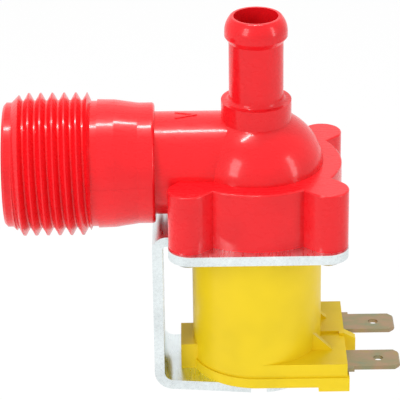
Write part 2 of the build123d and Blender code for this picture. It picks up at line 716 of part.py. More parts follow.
def coil_housing():
    """The encapsulation: a round case with a terminal block and a side lug."""
    case = disc(COIL_R, COIL_LOW_Z, COIL_TOP_Z)
    case = fillet(case.edges().group_by(Axis.Z)[-1], COIL_TOP_ROUND)
    case += disc(BASE_R, COIL_LOW_Z, COIL_LOW_Z + BASE_H)
    case += block((0, -BASE_R, COIL_LOW_Z), (BLOCK_END_X + BASE_LIP, BASE_R, COIL_LOW_Z + BASE_H))
    case += block((0, -COIL_R, COIL_LOW_Z + BASE_H), (BLOCK_END_X, COIL_R, BLOCK_TOP_Z))
    case += block((0, 0, BLOCK_TOP_Z - 1), (BLOCK_END_X, COIL_R, BLOCK_TOP_Z + BLOCK_STEP))
    case += block(
        (STEP_START_X, -BASE_R, COIL_LOW_Z - STEP_H), (BLOCK_END_X + BASE_LIP, BASE_R, COIL_LOW_Z)
    )
    case += block((LUG_END_X, -LUG_HALF_W, COIL_LOW_Z), (-COIL_R / 2, LUG_HALF_W, COIL_LOW_Z + LUG_H))
    for side in (-1, 1):
        case += gusset(side)
    case += barrier()
    case -= disc(SLEEVE_R + BORE_GAP, COIL_LOW_Z - 1, COIL_TOP_Z + 1)
    case -= ring(SLEEVE_R, BOBBIN_CHEEK_R, BOBBIN_LOW_Z, BOBBIN_LOW_Z + BOBBIN_CHEEK_H)
    case -= ring(SLEEVE_R, BOBBIN_CHEEK_R, BOBBIN_TOP_Z - BOBBIN_CHEEK_H, BOBBIN_TOP_Z)
    case -= between_cheeks(SLEEVE_R, TAPE_R)
    for side in (-1, 1):
        case -= terminal(side) + lead_wire(side)
    return case


# ---------------------------------------------------------------- inlet fittings


def strainer_frame():
    """The strainer's moulded cage, its closed nose towards the mouth."""
    rim_left = STRAINER_SEAT_X - STRAINER_RIM_H
    nose = rim_left - STRAINER_LENGTH
    bore_r = STRAINER_R - STRAINER_RIM_W
    frame = pipe(0, MOUTH_BORE_R - BORE_GAP, rim_left, STRAINER_SEAT_X)
    frame += pipe(0, STRAINER_R, nose, nose + STRAINER_CAP_H)
    for n in range(STRAINER_RIBS):
        rib = block(
            (nose + STRAINER_CAP_H / 2, -STRAINER_RIB_W / 2, bore_r - 1),
            (rim_left + 0.5, STRAINER_RIB_W / 2, STRAINER_R - SCREEN_T - BORE_GAP),
        )
        turn = Pos(0, 0, INLET_AXIS_Z) * Rot(n * 360 / STRAINER_RIBS, 0, 0)
        frame += turn * rib
    return frame - pipe(0, bore_r, nose + STRAINER_CAP_H, STRAINER_SEAT_X + 1)


def strainer_screen():
    """The wire screen wrapped round the cage."""
    rim_left = STRAINER_SEAT_X - STRAINER_RIM_H
    nose = rim_left - STRAINER_LENGTH
    return pipe(STRAINER_R - SCREEN_T, STRAINER_R, nose + STRAINER_CAP_H, rim_left)


def flow_washer():
    """The rubber flow-control washer."""
    left = REGULATOR_SEAT_X - WASHER_H
    return pipe(WASHER_HOLE_R, REGULATOR_BORE_R - BORE_GAP, left, REGULATOR_SEAT_X)


def washer_holder():
    """The plastic ring that keeps the washer on its seat."""
    right = REGULATOR_SEAT_X - WASHER_H
    outer_r = REGULATOR_BORE_R - BORE_GAP
    return pipe(outer_r - HOLDER_W, outer_r, right - HOLDER_H, right)


def main():
    os.makedirs("parts", exist_ok=True)
    save("valve_body", valve_body())
    save("strainer_frame", strainer_frame())
    save("strainer_screen", strainer_screen())
    save("flow_washer", flow_washer())
    save("washer_holder", washer_holder())
    save("yoke_bracket", yoke_bracket())
    save("body_screws", screws())
    save("plunger_guide", plunger_guide())
    save("diaphragm", diaphragm())
    save("diaphragm_insert", diaphragm_insert())
    save("plunger", plunger())
    save("plunger_tip", plunger_tip())
    save("plunger_spring", plunger_spring())
    save("coil_housing", coil_housing())
    save("coil_bobbin", bobbin())
    save("coil_winding", between_cheeks(BOBBIN_R, WINDING_R))
    tape = between_cheeks(WINDING_R, TAPE_R)
    for side in (-1, 1):
        tape -= lead_wire(side)
    save("winding_tape", tape)
    save("winding_leads", [lead_wire(-1), lead_wire(1)])
    top = COIL_TOP_Z
    save("upper_pole_sleeve", ring(SLEEVE_BORE_R, SLEEVE_R, top - UPPER_SLEEVE_H, top))
    save("lower_pole_sleeve", ring(SLEEVE_BORE_R, SLEEVE_R, COIL_LOW_Z, COIL_LOW_Z + LOWER_SLEEVE_H))
    save("terminal_front", terminal(-1))
    save("terminal_rear", terminal(1))


main()
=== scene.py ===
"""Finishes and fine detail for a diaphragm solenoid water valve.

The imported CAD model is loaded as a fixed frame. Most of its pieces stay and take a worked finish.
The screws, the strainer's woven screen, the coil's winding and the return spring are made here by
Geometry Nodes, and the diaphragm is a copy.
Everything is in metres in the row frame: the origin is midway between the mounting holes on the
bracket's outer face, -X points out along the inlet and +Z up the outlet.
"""

import math

import bmesh
import bpy
from bpy.props import FloatProperty, FloatVectorProperty, IntProperty, PointerProperty
from mathutils import Matrix, Vector


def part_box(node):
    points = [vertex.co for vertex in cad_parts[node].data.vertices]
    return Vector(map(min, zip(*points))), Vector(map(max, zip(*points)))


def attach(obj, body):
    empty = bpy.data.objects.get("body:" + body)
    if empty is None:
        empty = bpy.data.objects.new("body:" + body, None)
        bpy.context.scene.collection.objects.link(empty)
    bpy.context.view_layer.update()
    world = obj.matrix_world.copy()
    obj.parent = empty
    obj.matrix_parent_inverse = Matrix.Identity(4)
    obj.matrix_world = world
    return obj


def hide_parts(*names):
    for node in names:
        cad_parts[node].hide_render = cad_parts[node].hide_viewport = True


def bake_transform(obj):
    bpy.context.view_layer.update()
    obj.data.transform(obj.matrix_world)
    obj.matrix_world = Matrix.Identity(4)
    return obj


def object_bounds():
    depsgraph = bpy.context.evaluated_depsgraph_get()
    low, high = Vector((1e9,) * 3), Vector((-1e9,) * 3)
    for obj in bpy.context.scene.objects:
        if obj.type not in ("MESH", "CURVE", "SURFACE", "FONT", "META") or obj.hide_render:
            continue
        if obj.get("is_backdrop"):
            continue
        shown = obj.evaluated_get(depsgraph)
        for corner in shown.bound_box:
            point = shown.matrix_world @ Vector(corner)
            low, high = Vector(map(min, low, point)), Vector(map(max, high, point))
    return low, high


bl_info = {
    "name": "Solenoid Valve Finish",
    "version": (1, 0, 0),
    "blender": (4, 5, 0),
    "location": "3D View > Sidebar > Valve",
    "description": "Finishes and fine detail for a solenoid water valve",
    "category": "Object",
}

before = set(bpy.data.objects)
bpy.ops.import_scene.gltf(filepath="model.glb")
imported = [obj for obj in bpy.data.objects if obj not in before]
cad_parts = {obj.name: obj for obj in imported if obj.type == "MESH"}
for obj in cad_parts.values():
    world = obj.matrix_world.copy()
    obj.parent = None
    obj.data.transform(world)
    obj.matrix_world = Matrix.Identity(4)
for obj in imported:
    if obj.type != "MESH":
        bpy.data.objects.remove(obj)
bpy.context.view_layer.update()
MM = 0.001
SEAM_END_X = -1 * MM  # the parting line stops 1 mm outside the bracket's outer face
SHOWN_BY_GLOW = 0.8  # share of the floor's colour that the camera sees as plain white
SKY_AS_LIGHT = 0.47  # the sky's strength where it lights the valve
FLOOR_HALF = 3.0  # half the width of the stage floor
THREAD_ROOT = 0.78  # radius of a screw thread's root, as a share of its crest's
RECESS_REACH = 1.1  # reach of a screw's cross recess, as a share of the head's radius and height
RECESS_WIDTH = 0.25  # width of the recess's bars, as a share of the head's radius


# ------------------------------------------------------------------ settings


class MouldingSettings(bpy.types.PropertyGroup):
    """Colours and gloss of the moulded pieces."""

    body_colour: FloatVectorProperty(
        name="Body Colour",
        description="Colour of the moulded valve body",
        subtype="COLOR",
        size=3,
        min=0,
        max=1,
        default=(0.85, 0.009, 0.015),
    )
    coil_colour: FloatVectorProperty(
        name="Coil Colour",
        description="Colour of the coil's encapsulation",
        subtype="COLOR",
        size=3,
        min=0,
        max=1,
        default=(0.86, 0.62, 0.010),
    )
    body_roughness: FloatProperty(
        name="Body Roughness",
        description="Mean roughness of the body's surface",
        min=0,
        max=1,
        default=0.27,
    )
    seam_width: FloatProperty(
        name="Seam Width",
        description="Width of the mould's parting line along the inlet",
        subtype="DISTANCE",
        default=0.16 * MM,
    )


class MetalSettings(bpy.types.PropertyGroup):
    """Colours of the plated and bare metals."""

    plate_colour: FloatVectorProperty(
        name="Plate Colour",
        description="Colour of the bracket's zinc plating",
        subtype="COLOR",
        size=3,
        min=0,
        max=1,
        default=(0.78, 0.84, 0.85),
    )
    tab_colour: FloatVectorProperty(
        name="Terminal Colour",
        description="Main colour of the passivated terminals",
        subtype="COLOR",
        size=3,
        min=0,
        max=1,
        default=(0.33, 0.27, 0.15),
    )


class ScrewSettings(bpy.types.PropertyGroup):
    """Sizes of the body screws."""

    head_radius: FloatProperty(
        name="Head Radius",
        description="Radius of the pan head",
        subtype="DISTANCE",
        default=2.75 * MM,
    )
    head_height: FloatProperty(
        name="Head Height",
        description="Height of the pan head",
        subtype="DISTANCE",
        default=1.9 * MM,
    )
    shank_radius: FloatProperty(
        name="Shank Radius",
        description="Radius over the thread's crests",
        subtype="DISTANCE",
        default=1.24 * MM,
    )
    thread_pitch: FloatProperty(
        name="Thread Pitch",
        description="Distance between thread crests",
        subtype="DISTANCE",
        default=0.9 * MM,
    )


class ScreenSettings(bpy.types.PropertyGroup):
    """Sizes of the strainer's woven screen."""

    wire_radius: FloatProperty(
        name="Wire Radius",
        description="Radius of the screen's wires",
        subtype="DISTANCE",
        default=0.07 * MM,
    )
    hoops: IntProperty(
        name="Hoops",
        description="Number of wires round the screen",
        min=4,
        default=22,
    )
    rods: IntProperty(
        name="Rods",
        description="Number of wires along the screen",
        min=8,
        default=84,
    )


class WindingSettings(bpy.types.PropertyGroup):
    """Sizes of the coil's winding."""

    wire_radius: FloatProperty(
        name="Wire Radius",
        description="Radius of the winding's outer wires",
        subtype="DISTANCE",
        default=0.22 * MM,
    )
    depth: FloatProperty(
        name="Depth",
        description="Depth of copper between the bobbin's core and the tape",
        subtype="DISTANCE",
        default=3.1 * MM,
    )


class SpringSettings(bpy.types.PropertyGroup):
    """Sizes of the plunger's return spring."""

    wire_radius: FloatProperty(
        name="Wire Radius",
        description="Radius of the spring's wire",
        subtype="DISTANCE",
        default=0.25 * MM,
    )
    turns: FloatProperty(
        name="Turns",
        description="Number of turns from end to end",
        min=2,
        default=7,
    )


class StudioSettings(bpy.types.PropertyGroup):
    """Camera and stage."""

    lens: FloatProperty(
        name="Lens",
        description="Focal length of the camera, in millimetres",
        default=220.0,
    )
    distance: FloatProperty(
        name="Distance",
        description="Distance from the camera to the valve",
        subtype="DISTANCE",
        default=0.465,
    )
    pitch: FloatProperty(
        name="Pitch",
        description="How far the camera looks down",
        subtype="ANGLE",
        default=math.radians(25.5),
    )
    roll: FloatProperty(
        name="Roll",
        description="How far the camera is turned about its own axis",
        subtype="ANGLE",
        default=math.radians(0.8),
    )
    aim: FloatVectorProperty(
        name="Aim",
        description="Point that the camera looks at",
        subtype="XYZ",
        size=3,
        default=(9.16 * MM, 0.0, 18.94 * MM),
    )
    floor_drop: FloatProperty(
        name="Floor Drop",
        description="Distance from the valve's lowest point to the floor",
        subtype="DISTANCE",
        default=0.045,
    )


# ------------------------------------------------------------------ shader tools


def new_finish(name):
    """A material with its node tree, its shader and an object-space coordinate output."""
    material = bpy.data.materials.new(name)
    material.use_nodes = True
    tree = material.node_tree
    shader = tree.nodes["Principled BSDF"]
    where = tree.nodes.new("ShaderNodeTexCoord").outputs["Object"]
    return material, tree, shader, where


def stretched(tree, where, scale, turn=(0, 0, 0)):
    """The coordinates turned and stretched, for streaks and brushing."""
    mapping = tree.nodes.new("ShaderNodeMapping")
    mapping.inputs["Rotation"].default_value = turn
    mapping.inputs["Scale"].default_value = scale
    tree.links.new(where, mapping.inputs["Vector"])
    return mapping.outputs["Vector"]


def noise(tree, where, scale, detail=3.0, rough=0.55):
    texture = tree.nodes.new("ShaderNodeTexNoise")
    texture.inputs["Scale"].default_value = scale
    texture.inputs["Detail"].default_value = detail
    texture.inputs["Roughness"].default_value = rough
    tree.links.new(where, texture.inputs["Vector"])
    return texture.outputs["Fac"]


def cells(tree, where, scale):
    texture = tree.nodes.new("ShaderNodeTexVoronoi")
    texture.inputs["Scale"].default_value = scale
    tree.links.new(where, texture.inputs["Vector"])
    return texture.outputs["Color"]


def ramp(tree, value, stops):
    """A colour ramp from (place, colour) stops."""
    node = tree.nodes.new("ShaderNodeValToRGB")
    band = node.color_ramp
    while len(band.elements) < len(stops):
        band.elements.new(0.5)
    for element, (place, colour) in zip(band.elements, stops):
        element.position = place
        element.color = (*colour, 1)
    tree.links.new(value, node.inputs["Fac"])
    return node.outputs["Color"]


def spread(tree, value, low, high, start=0.3, end=0.7):
    """The value remapped from start..end to low..high."""
    node = tree.nodes.new("ShaderNodeMapRange")
    node.inputs["From Min"].default_value = start
    node.inputs["From Max"].default_value = end
    node.inputs["To Min"].default_value = low
    node.inputs["To Max"].default_value = high
    tree.links.new(value, node.inputs["Value"])
    return node.outputs["Result"]


def maths(tree, operation, a, b=None, c=None):
    node = tree.nodes.new("ShaderNodeMath")
    node.operation = operation
    for socket, value in zip(node.inputs, (a, b, c)):
        if value is None:
            continue
        if isinstance(value, (int, float)):
            socket.default_value = value
        else:
            tree.links.new(value, socket)
    return node.outputs["Value"]


def bumped(tree, shader, height, distance, strength=1.0, under=None):
    """Raises the shader's surface by height times distance, over any earlier bump."""
    node = tree.nodes.new("ShaderNodeBump")
    node.inputs["Strength"].default_value = strength
    node.inputs["Distance"].default_value = distance
    tree.links.new(height, node.inputs["Height"])
    if under is not None:
        tree.links.new(under, node.inputs["Normal"])
    tree.links.new(node.outputs["Normal"], shader.inputs["Normal"])
    return node.outputs["Normal"]


def shade(colour, factor):
    return tuple(min(1.0, max(0.0, c * factor)) for c in colour)


def parting_line(tree, where, height, width, left, right):
    """One on a thin band at a height between two places along X, and zero elsewhere."""
    axes = tree.nodes.new("ShaderNodeSeparateXYZ")
    tree.links.new(where, axes.inputs["Vector"])
    off = maths(tree, "ABSOLUTE", maths(tree, "SUBTRACT", axes.outputs["Z"], height))
    band = maths(tree, "LESS_THAN", off, width / 2)
    after = maths(tree, "GREATER_THAN", axes.outputs["X"], left)
    before = maths(tree, "LESS_THAN", axes.outputs["X"], right)
    return maths(tree, "MULTIPLY", band, maths(tree, "MULTIPLY", after, before))


def moulded(name, colour, roughness, grain=0.012 * MM, gloss=0.5):
    """A moulded plastic: faint flow mottling, fine grain, handling marks and uneven gloss."""
    material, tree, shader, where = new_finish(name)
    broad = noise(tree, where, scale=90.0, detail=2.0)
    tint = ramp(
        tree, broad, [(0.25, shade(colour, 0.90)), (0.5, colour), (0.8, shade(colour, 1.06))]
    )
    tree.links.new(tint, shader.inputs["Base Color"])
    handled = stretched(tree, where, scale=(420, 1500, 900), turn=(0.3, 0.2, 0.5))
    marks = noise(tree, handled, scale=1.0, detail=4.0)
    dull = spread(tree, marks, roughness - 0.05, roughness + 0.09)
    tree.links.new(dull, shader.inputs["Roughness"])
    shader.inputs["Specular IOR Level"].default_value = gloss
    waves = noise(tree, where, scale=260.0, detail=2.0)
    sink = bumped(tree, shader, waves, distance=0.05 * MM, strength=0.35)
    fine = noise(tree, where, scale=3200.0, detail=2.0)
    bumped(tree, shader, fine, grain, strength=0.6, under=sink)
    return material, tree, shader, where


def metal(name, colour, roughness, brushing=(300, 6000, 6000), bump=0.004 * MM, vary=0.12):
    """A worked metal: tone and roughness vary along fine drawn or rolled streaks."""
    material, tree, shader, where = new_finish(name)
    shader.inputs["Metallic"].default_value = 1.0
    streaks = noise(tree, stretched(tree, where, brushing), scale=1.0, rough=0.6)
    patches = noise(tree, where, scale=160.0)
    mix = maths(tree, "MULTIPLY_ADD", streaks, 0.45, maths(tree, "MULTIPLY", patches, 0.55))
    tint = ramp(
        tree,
        mix,
        [(0.3, shade(colour, 1 - vary)), (0.5, colour), (0.72, shade(colour, 1 + vary))],
    )
    tree.links.new(tint, shader.inputs["Base Color"])
    rough = spread(tree, streaks, roughness - 0.07, roughness + 0.10)
    tree.links.new(rough, shader.inputs["Roughness"])
    bumped(tree, shader, streaks, bump, strength=0.7)
    return material, tree, shader, where


# ------------------------------------------------------------------ finishes


def red_moulding(settings):
    """The body's red plastic, with the mould's parting line along the inlet."""
    material, tree, shader, where = moulded(
        "red_moulding", tuple(settings.body_colour), settings.body_roughness, gloss=0.2
    )
    shader.inputs["Coat Weight"].default_value = 0.35
    shader.inputs["Coat Roughness"].default_value = 0.10
    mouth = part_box("valve_body")[0].x
    below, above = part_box("flow_washer")
    height = (below.z + above.z) / 2
    seam = parting_line(tree, where, height, settings.seam_width, mouth, SEAM_END_X)
    under = shader.inputs["Normal"].links[0].from_socket
    bumped(tree, shader, seam, distance=0.05 * MM, strength=0.8, under=under)
    return material


def yellow_encapsulation(settings):
    """The coil's yellow plastic."""
    colour = tuple(settings.coil_colour)
    return moulded("yellow_encapsulation", colour, roughness=0.36, grain=0.010 * MM, gloss=0.25)[0]


def zinc_plate(settings):
    """Bright zinc on rolled sheet: faint spangle, rolling streaks and dull patches."""
    colour = tuple(settings.plate_colour)
    material, tree, shader, where = metal(
        "zinc_plate", colour, roughness=0.30, brushing=(2200, 260, 2200), vary=0.17
    )
    tone = tree.nodes.new("ShaderNodeSeparateColor")
    tree.links.new(cells(tree, where, scale=700.0), tone.inputs["Color"])
    spangle = spread(tree, tone.outputs["Red"], 0.0, 1.0, start=0.0, end=1.0)
    under = shader.inputs["Normal"].links[0].from_socket
    bumped(tree, shader, spangle, distance=0.002 * MM, strength=0.3, under=under)
    return material


def terminal_brass(settings):
    """Passivated strip whose colour wanders between gold, olive and pink."""
    colour = tuple(settings.tab_colour)
    material, tree, shader, where = metal(
        "terminal_brass", colour, roughness=0.36, brushing=(350, 5000, 5000)
    )
    drift = noise(tree, stretched(tree, where, (260, 420, 260)), scale=1.0, rough=0.5)
    olive = (colour[0] * 0.80, colour[1] * 1.02, colour[2] * 1.12)
    pink = (colour[0] * 1.18, colour[1] * 0.98, colour[2] * 1.10)
    gold = (colour[0] * 1.15, colour[1] * 1.08, colour[2] * 0.75)
    tint = ramp(tree, drift, [(0.3, olive), (0.45, colour), (0.58, pink), (0.72, gold)])
    tree.links.new(tint, shader.inputs["Base Color"])
    return material


def black_rubber():
    """Moulded rubber with a dusty bloom."""
    material, tree, shader, where = moulded(
        "black_rubber", (0.030, 0.030, 0.032), roughness=0.62
    )
    bloom = noise(tree, where, scale=700.0, detail=4.0)
    tint = ramp(tree, bloom, [(0.35, (0.022, 0.022, 0.024)), (0.75, (0.060, 0.058, 0.056))])
    tree.links.new(tint, shader.inputs["Base Color"])
    return material


# ------------------------------------------------------------------ mesh tools


def finish_nodes(material, *names):
    """Gives CAD nodes a finish, in all their material slots."""
    for name in names:
        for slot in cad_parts[name].material_slots:
            slot.material = material


def new_piece(name, mesh, material=None):
    piece = bpy.data.objects.new(name, mesh)
    bpy.context.scene.collection.objects.link(piece)
    if material is not None:
        mesh.materials.append(material)
    return piece


def lathe(name, profile, steps):
    """A closed solid from (radius, height) points turned about Z."""
    shape = bmesh.new()
    points = [shape.verts.new((radius, 0, height)) for radius, height in profile]
    edges = [shape.edges.new(pair) for pair in zip(points, points[1:])]
    bmesh.ops.spin(
        shape,
        geom=points + edges,
        axis=(0, 0, 1),
        cent=(0, 0, 0),
        steps=steps,
        angle=2 * math.pi,
    )
    bmesh.ops.remove_doubles(shape, verts=shape.verts, dist=1e-7)
    bmesh.ops.recalc_face_normals(shape, faces=shape.faces)
    mesh = bpy.data.meshes.new(name)
    shape.to_mesh(mesh)
    shape.free()
    return mesh


def tree_with_inputs(name, inputs):
    """A geometry node tree with named number, whole-number or object inputs."""
    tree = bpy.data.node_groups.new(name, "GeometryNodeTree")
    tree.interface.new_socket("Geometry", in_out="INPUT", socket_type="NodeSocketGeometry")
    for label, kind in inputs:
        tree.interface.new_socket(label, in_out="INPUT", socket_type=f"NodeSocket{kind}")
    tree.interface.new_socket("Geometry", in_out="OUTPUT", socket_type="NodeSocketGeometry")
    source = tree.nodes.new("NodeGroupInput")
    sink = tree.nodes.new("NodeGroupOutput")
    return tree, source.outputs, sink.inputs["Geometry"]


def wired(tree, kind, values=(), **settings):
    """A node with its options set and its inputs linked or given."""
    node = tree.nodes.new(kind)
    for key, value in settings.items():
        setattr(node, key, value)
    for key, value in dict(values).items():
        if isinstance(value, bpy.types.NodeSocket):
            tree.links.new(value, node.inputs[key])
        else:
            node.inputs[key].default_value = value
    return node


def end_tree(tree, geometry, material, out):
    """Makes the instances real and gives them their finish."""
    real = wired(tree, "GeometryNodeRealizeInstances", {"Geometry": geometry})
    finished = wired(
        tree,
        "GeometryNodeSetMaterial",
        {"Geometry": real.outputs["Geometry"], "Material": material},
    )
    tree.links.new(finished.outputs["Geometry"], out)


def grown(name, tree, values):
    """Runs a tree on an empty mesh and keeps the result as a plain mesh piece."""
    seed = new_piece(name + "_seed", bpy.data.meshes.new(name + "_seed"))
    modifier = seed.modifiers.new("Grow", "NODES")
    modifier.node_group = tree
    sockets = {s.name: s.identifier for s in tree.interface.items_tree if s.in_out == "INPUT"}
    for label, value in values.items():
        modifier[sockets[label]] = value
    graph = bpy.context.evaluated_depsgraph_get()
    mesh = bpy.data.meshes.new_from_object(seed.evaluated_get(graph))
    seed.modifiers.clear()
    bpy.data.objects.remove(seed)
    if not mesh.polygons:
        raise RuntimeError(f"{name}: its node tree made nothing")
    mesh.name = name
    return new_piece(name, mesh)


# ------------------------------------------------------------------ node trees


def round_wire(tree, given, path, corners, capped=False):
    """A wire of the tree's Wire Radius laid along a curve."""
    profile = wired(
        tree,
        "GeometryNodeCurvePrimitiveCircle",
        {"Resolution": corners, "Radius": given["Wire Radius"]},
    )
    wire = wired(
        tree,
        "GeometryNodeCurveToMesh",
        {"Curve": path, "Profile Curve": profile.outputs["Curve"], "Fill Caps": capped},
    )
    return wire.outputs["Mesh"]


def at_points(tree, points, piece):
    """A copy of a piece at each point."""
    placed = wired(tree, "GeometryNodeInstanceOnPoints", {"Points": points, "Instance": piece})
    return placed.outputs["Instances"]


def stacked(tree, count, height, piece):
    """Copies of a piece at even steps from the origin up to a height."""
    column = wired(
        tree, "GeometryNodeMeshLine", {"Count": count, "Offset": height}, mode="END_POINTS"
    )
    return at_points(tree, column.outputs["Mesh"], piece)


def spring_tree(steel):
    """A helical spring of round wire that stands on its origin."""
    tree, given, out = tree_with_inputs(
        "Coil Spring",
        [("Mean Radius", "Float"), ("Wire Radius", "Float"), ("Height", "Float"), ("Turns", "Float")],
    )
    spiral = wired(
        tree,
        "GeometryNodeCurveSpiral",
        {
            "Resolution": 36,
            "Rotations": given["Turns"],
            "Start Radius": given["Mean Radius"],
            "End Radius": given["Mean Radius"],
            "Height": given["Height"],
        },
    )
    wire = round_wire(tree, given, spiral.outputs["Curve"], corners=10, capped=True)
    end_tree(tree, wire, steel, out)
    return tree


def woven_screen_tree(wire):
    """Hoops and rods of fine wire on an upright sleeve that stands on its origin."""
    tree, given, out = tree_with_inputs(
        "Woven Screen",
        [
            ("Screen Radius", "Float"),
            ("Screen Length", "Float"),
            ("Wire Radius", "Float"),
            ("Hoops", "Int"),
            ("Rods", "Int"),
        ],
    )
    hoop = wired(
        tree,
        "GeometryNodeCurvePrimitiveCircle",
        {"Resolution": 64, "Radius": given["Screen Radius"]},
    )
    hoop_wire = round_wire(tree, given, hoop.outputs["Curve"], corners=5)
    top = wired(tree, "ShaderNodeCombineXYZ", {"Z": given["Screen Length"]}).outputs["Vector"]
    hoops = stacked(tree, given["Hoops"], top, hoop_wire)
    rod = wired(tree, "GeometryNodeCurvePrimitiveLine", {"End": top})
    rod_wire = round_wire(tree, given, rod.outputs["Curve"], corners=5, capped=True)
    around = wired(
        tree,
        "GeometryNodeMeshCircle",
        {"Vertices": given["Rods"], "Radius": given["Screen Radius"]},
    )
    rods = at_points(tree, around.outputs["Mesh"], rod_wire)
    both = tree.nodes.new("GeometryNodeJoinGeometry")
    for wires in (hoops, rods):
        tree.links.new(wires, both.inputs["Geometry"])
    end_tree(tree, both.outputs["Geometry"], wire, out)
    return tree


def wound_layer_tree(copper):
    """One layer of turns, drawn as a stack of hoops that stands on its origin."""
    tree, given, out = tree_with_inputs(
        "Wound Layer",
        [("Mean Radius", "Float"), ("Wire Radius", "Float"), ("Height", "Float"), ("Turns", "Int")],
    )
    hoop = wired(
        tree,
        "GeometryNodeCurvePrimitiveCircle",
        {"Resolution": 72, "Radius": given["Mean Radius"]},
    )
    turn = round_wire(tree, given, hoop.outputs["Curve"], corners=6)
    top = wired(tree, "ShaderNodeCombineXYZ", {"Z": given["Height"]}).outputs["Vector"]
    end_tree(tree, stacked(tree, given["Turns"], top, turn), copper, out)
    return tree


def screw_square_tree(plating):
    """One screw at each corner of a rectangle."""
    tree, given, out = tree_with_inputs(
        "Screw Square",
        [("Pitch X", "Float"), ("Pitch Y", "Float"), ("Screw", "Object")],
    )
    corners = wired(
        tree,
        "GeometryNodeMeshGrid",
        {
            "Size X": given["Pitch X"],
            "Size Y": given["Pitch Y"],
            "Vertices X": 2,
            "Vertices Y": 2,
        },
    )
    picked = wired(tree, "GeometryNodeObjectInfo", {"Object": given["Screw"]})
    screws = at_points(tree, corners.outputs["Mesh"], picked.outputs["Geometry"])
    end_tree(tree, screws, plating, out)
    return tree


# ------------------------------------------------------------------ turned pieces


def winding_core(inner, outer, foot, top):
    """The copper under the winding's outer layer: a sleeve between two radii and two heights."""
    profile = [(inner, foot), (outer, foot), (outer, top), (inner, top), (inner, foot)]
    return lathe("winding_core", profile, steps=72)


def screw_profile(sizes, length):
    """Half the outline of a pan-head screw, head down, with a V-threaded shank."""
    head, rim = sizes.head_radius, sizes.head_height
    shank, pitch = sizes.shank_radius, sizes.thread_pitch
    root = shank * THREAD_ROOT
    profile = [(0, 0), (head * 0.45, 0), (head * 0.78, 0.22 * rim), (head * 0.95, 0.5 * rim)]
    profile += [(head, 0.72 * rim), (head, 0.96 * rim), (head * 0.98, rim), (root, rim)]
    height = rim + pitch
    while height < length - 1.2 * pitch:
        profile += [(root, height - 0.25 * pitch), (shank, height), (root, height + 0.25 * pitch)]
        height += pitch
    return profile + [(root, length - 0.7 * pitch), (root * 0.4, length), (0, length)]


def recess_cutter(sizes):
    """Two crossed bars that cut the screw's cross recess."""
    size = (
        sizes.head_radius * RECESS_REACH,
        sizes.head_radius * RECESS_WIDTH,
        sizes.head_height * RECESS_REACH,
    )
    shape = bmesh.new()
    for turn in (0, math.pi / 2):
        place = Matrix.Rotation(turn, 4, "Z") @ Matrix.Diagonal((*size, 1))
        bmesh.ops.create_cube(shape, size=1, matrix=place)
    mesh = bpy.data.meshes.new("cross_recess")
    shape.to_mesh(mesh)
    shape.free()
    return new_piece("cross_recess", mesh)


def carved_screw(sizes, length):
    """One screw that stands head down on its origin, with its recess cut."""
    turned = lathe("screw_template", screw_profile(sizes, length), steps=40)
    template = new_piece("screw_template", turned)
    cutter = recess_cutter(sizes)
    recess = template.modifiers.new("Cross Recess", "BOOLEAN")
    recess.operation = "DIFFERENCE"
    recess.use_self = True
    recess.object = cutter
    graph = bpy.context.evaluated_depsgraph_get()
    carved = bpy.data.meshes.new_from_object(template.evaluated_get(graph))
    template.modifiers.clear()
    template.data = carved
    bpy.data.objects.remove(cutter)
    return template


# ------------------------------------------------------------------ diaphragm


def flexing_diaphragm(rubber):
    """A copy of the diaphragm in the rubber finish, which takes the CAD diaphragm's place."""
    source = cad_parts["diaphragm"]
    mesh = source.data.copy()
    mesh.transform(source.matrix_world)
    mesh.materials.clear()
    flexing = new_piece("flexing_diaphragm", mesh, rubber)
    low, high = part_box("diaphragm_insert")
    middle = (low + high) / 2
    points = [vertex.co.copy() for vertex in mesh.vertices]
    for vertex, point in zip(mesh.vertices, points):
        vertex.co = (math.hypot(point.x - middle.x, point.y - middle.y), 0, 0)
    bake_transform(flexing)
    for vertex, point in zip(flexing.data.vertices, points):
        vertex.co = point
    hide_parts("diaphragm")


# ------------------------------------------------------------------ studio


def studio_floor(studio):
    """A wide pale floor below the valve, marked as stage."""
    floor_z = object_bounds()[0].z - studio.floor_drop
    half = FLOOR_HALF
    corners = [(-half, -half), (half, -half), (half, half), (-half, half)]
    mesh = bpy.data.meshes.new("studio_floor")
    mesh.from_pydata([(x, y, floor_z) for x, y in corners], [], [(0, 1, 2, 3)])
    new_piece("studio_floor", mesh, floor_finish())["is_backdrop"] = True


def studio_camera(studio, aim):
    """The camera, in front of the valve and looking down at it."""
    data = bpy.data.cameras.new("studio_camera")
    data.lens = studio.lens
    data.sensor_width = 36.0
    data.clip_start = 0.01
    camera = bpy.data.objects.new("studio_camera", data)
    bpy.context.scene.collection.objects.link(camera)
    back = Vector((0, -math.cos(studio.pitch), math.sin(studio.pitch)))
    turn = (-back).to_track_quat("-Z", "Y").to_matrix().to_4x4()
    roll = Matrix.Rotation(-studio.roll, 4, "Z")
    camera.matrix_world = Matrix.Translation(aim + back * studio.distance) @ turn @ roll
    return camera


def seen_by_camera(tree):
    """One for camera, mirror and glass rays, and zero for the rest."""
    path = tree.nodes.new("ShaderNodeLightPath")
    seen = maths(
        tree, "MAXIMUM", path.outputs["Is Camera Ray"], path.outputs["Is Transmission Ray"]
    )
    return maths(tree, "MAXIMUM", seen, path.outputs["Is Glossy Ray"])


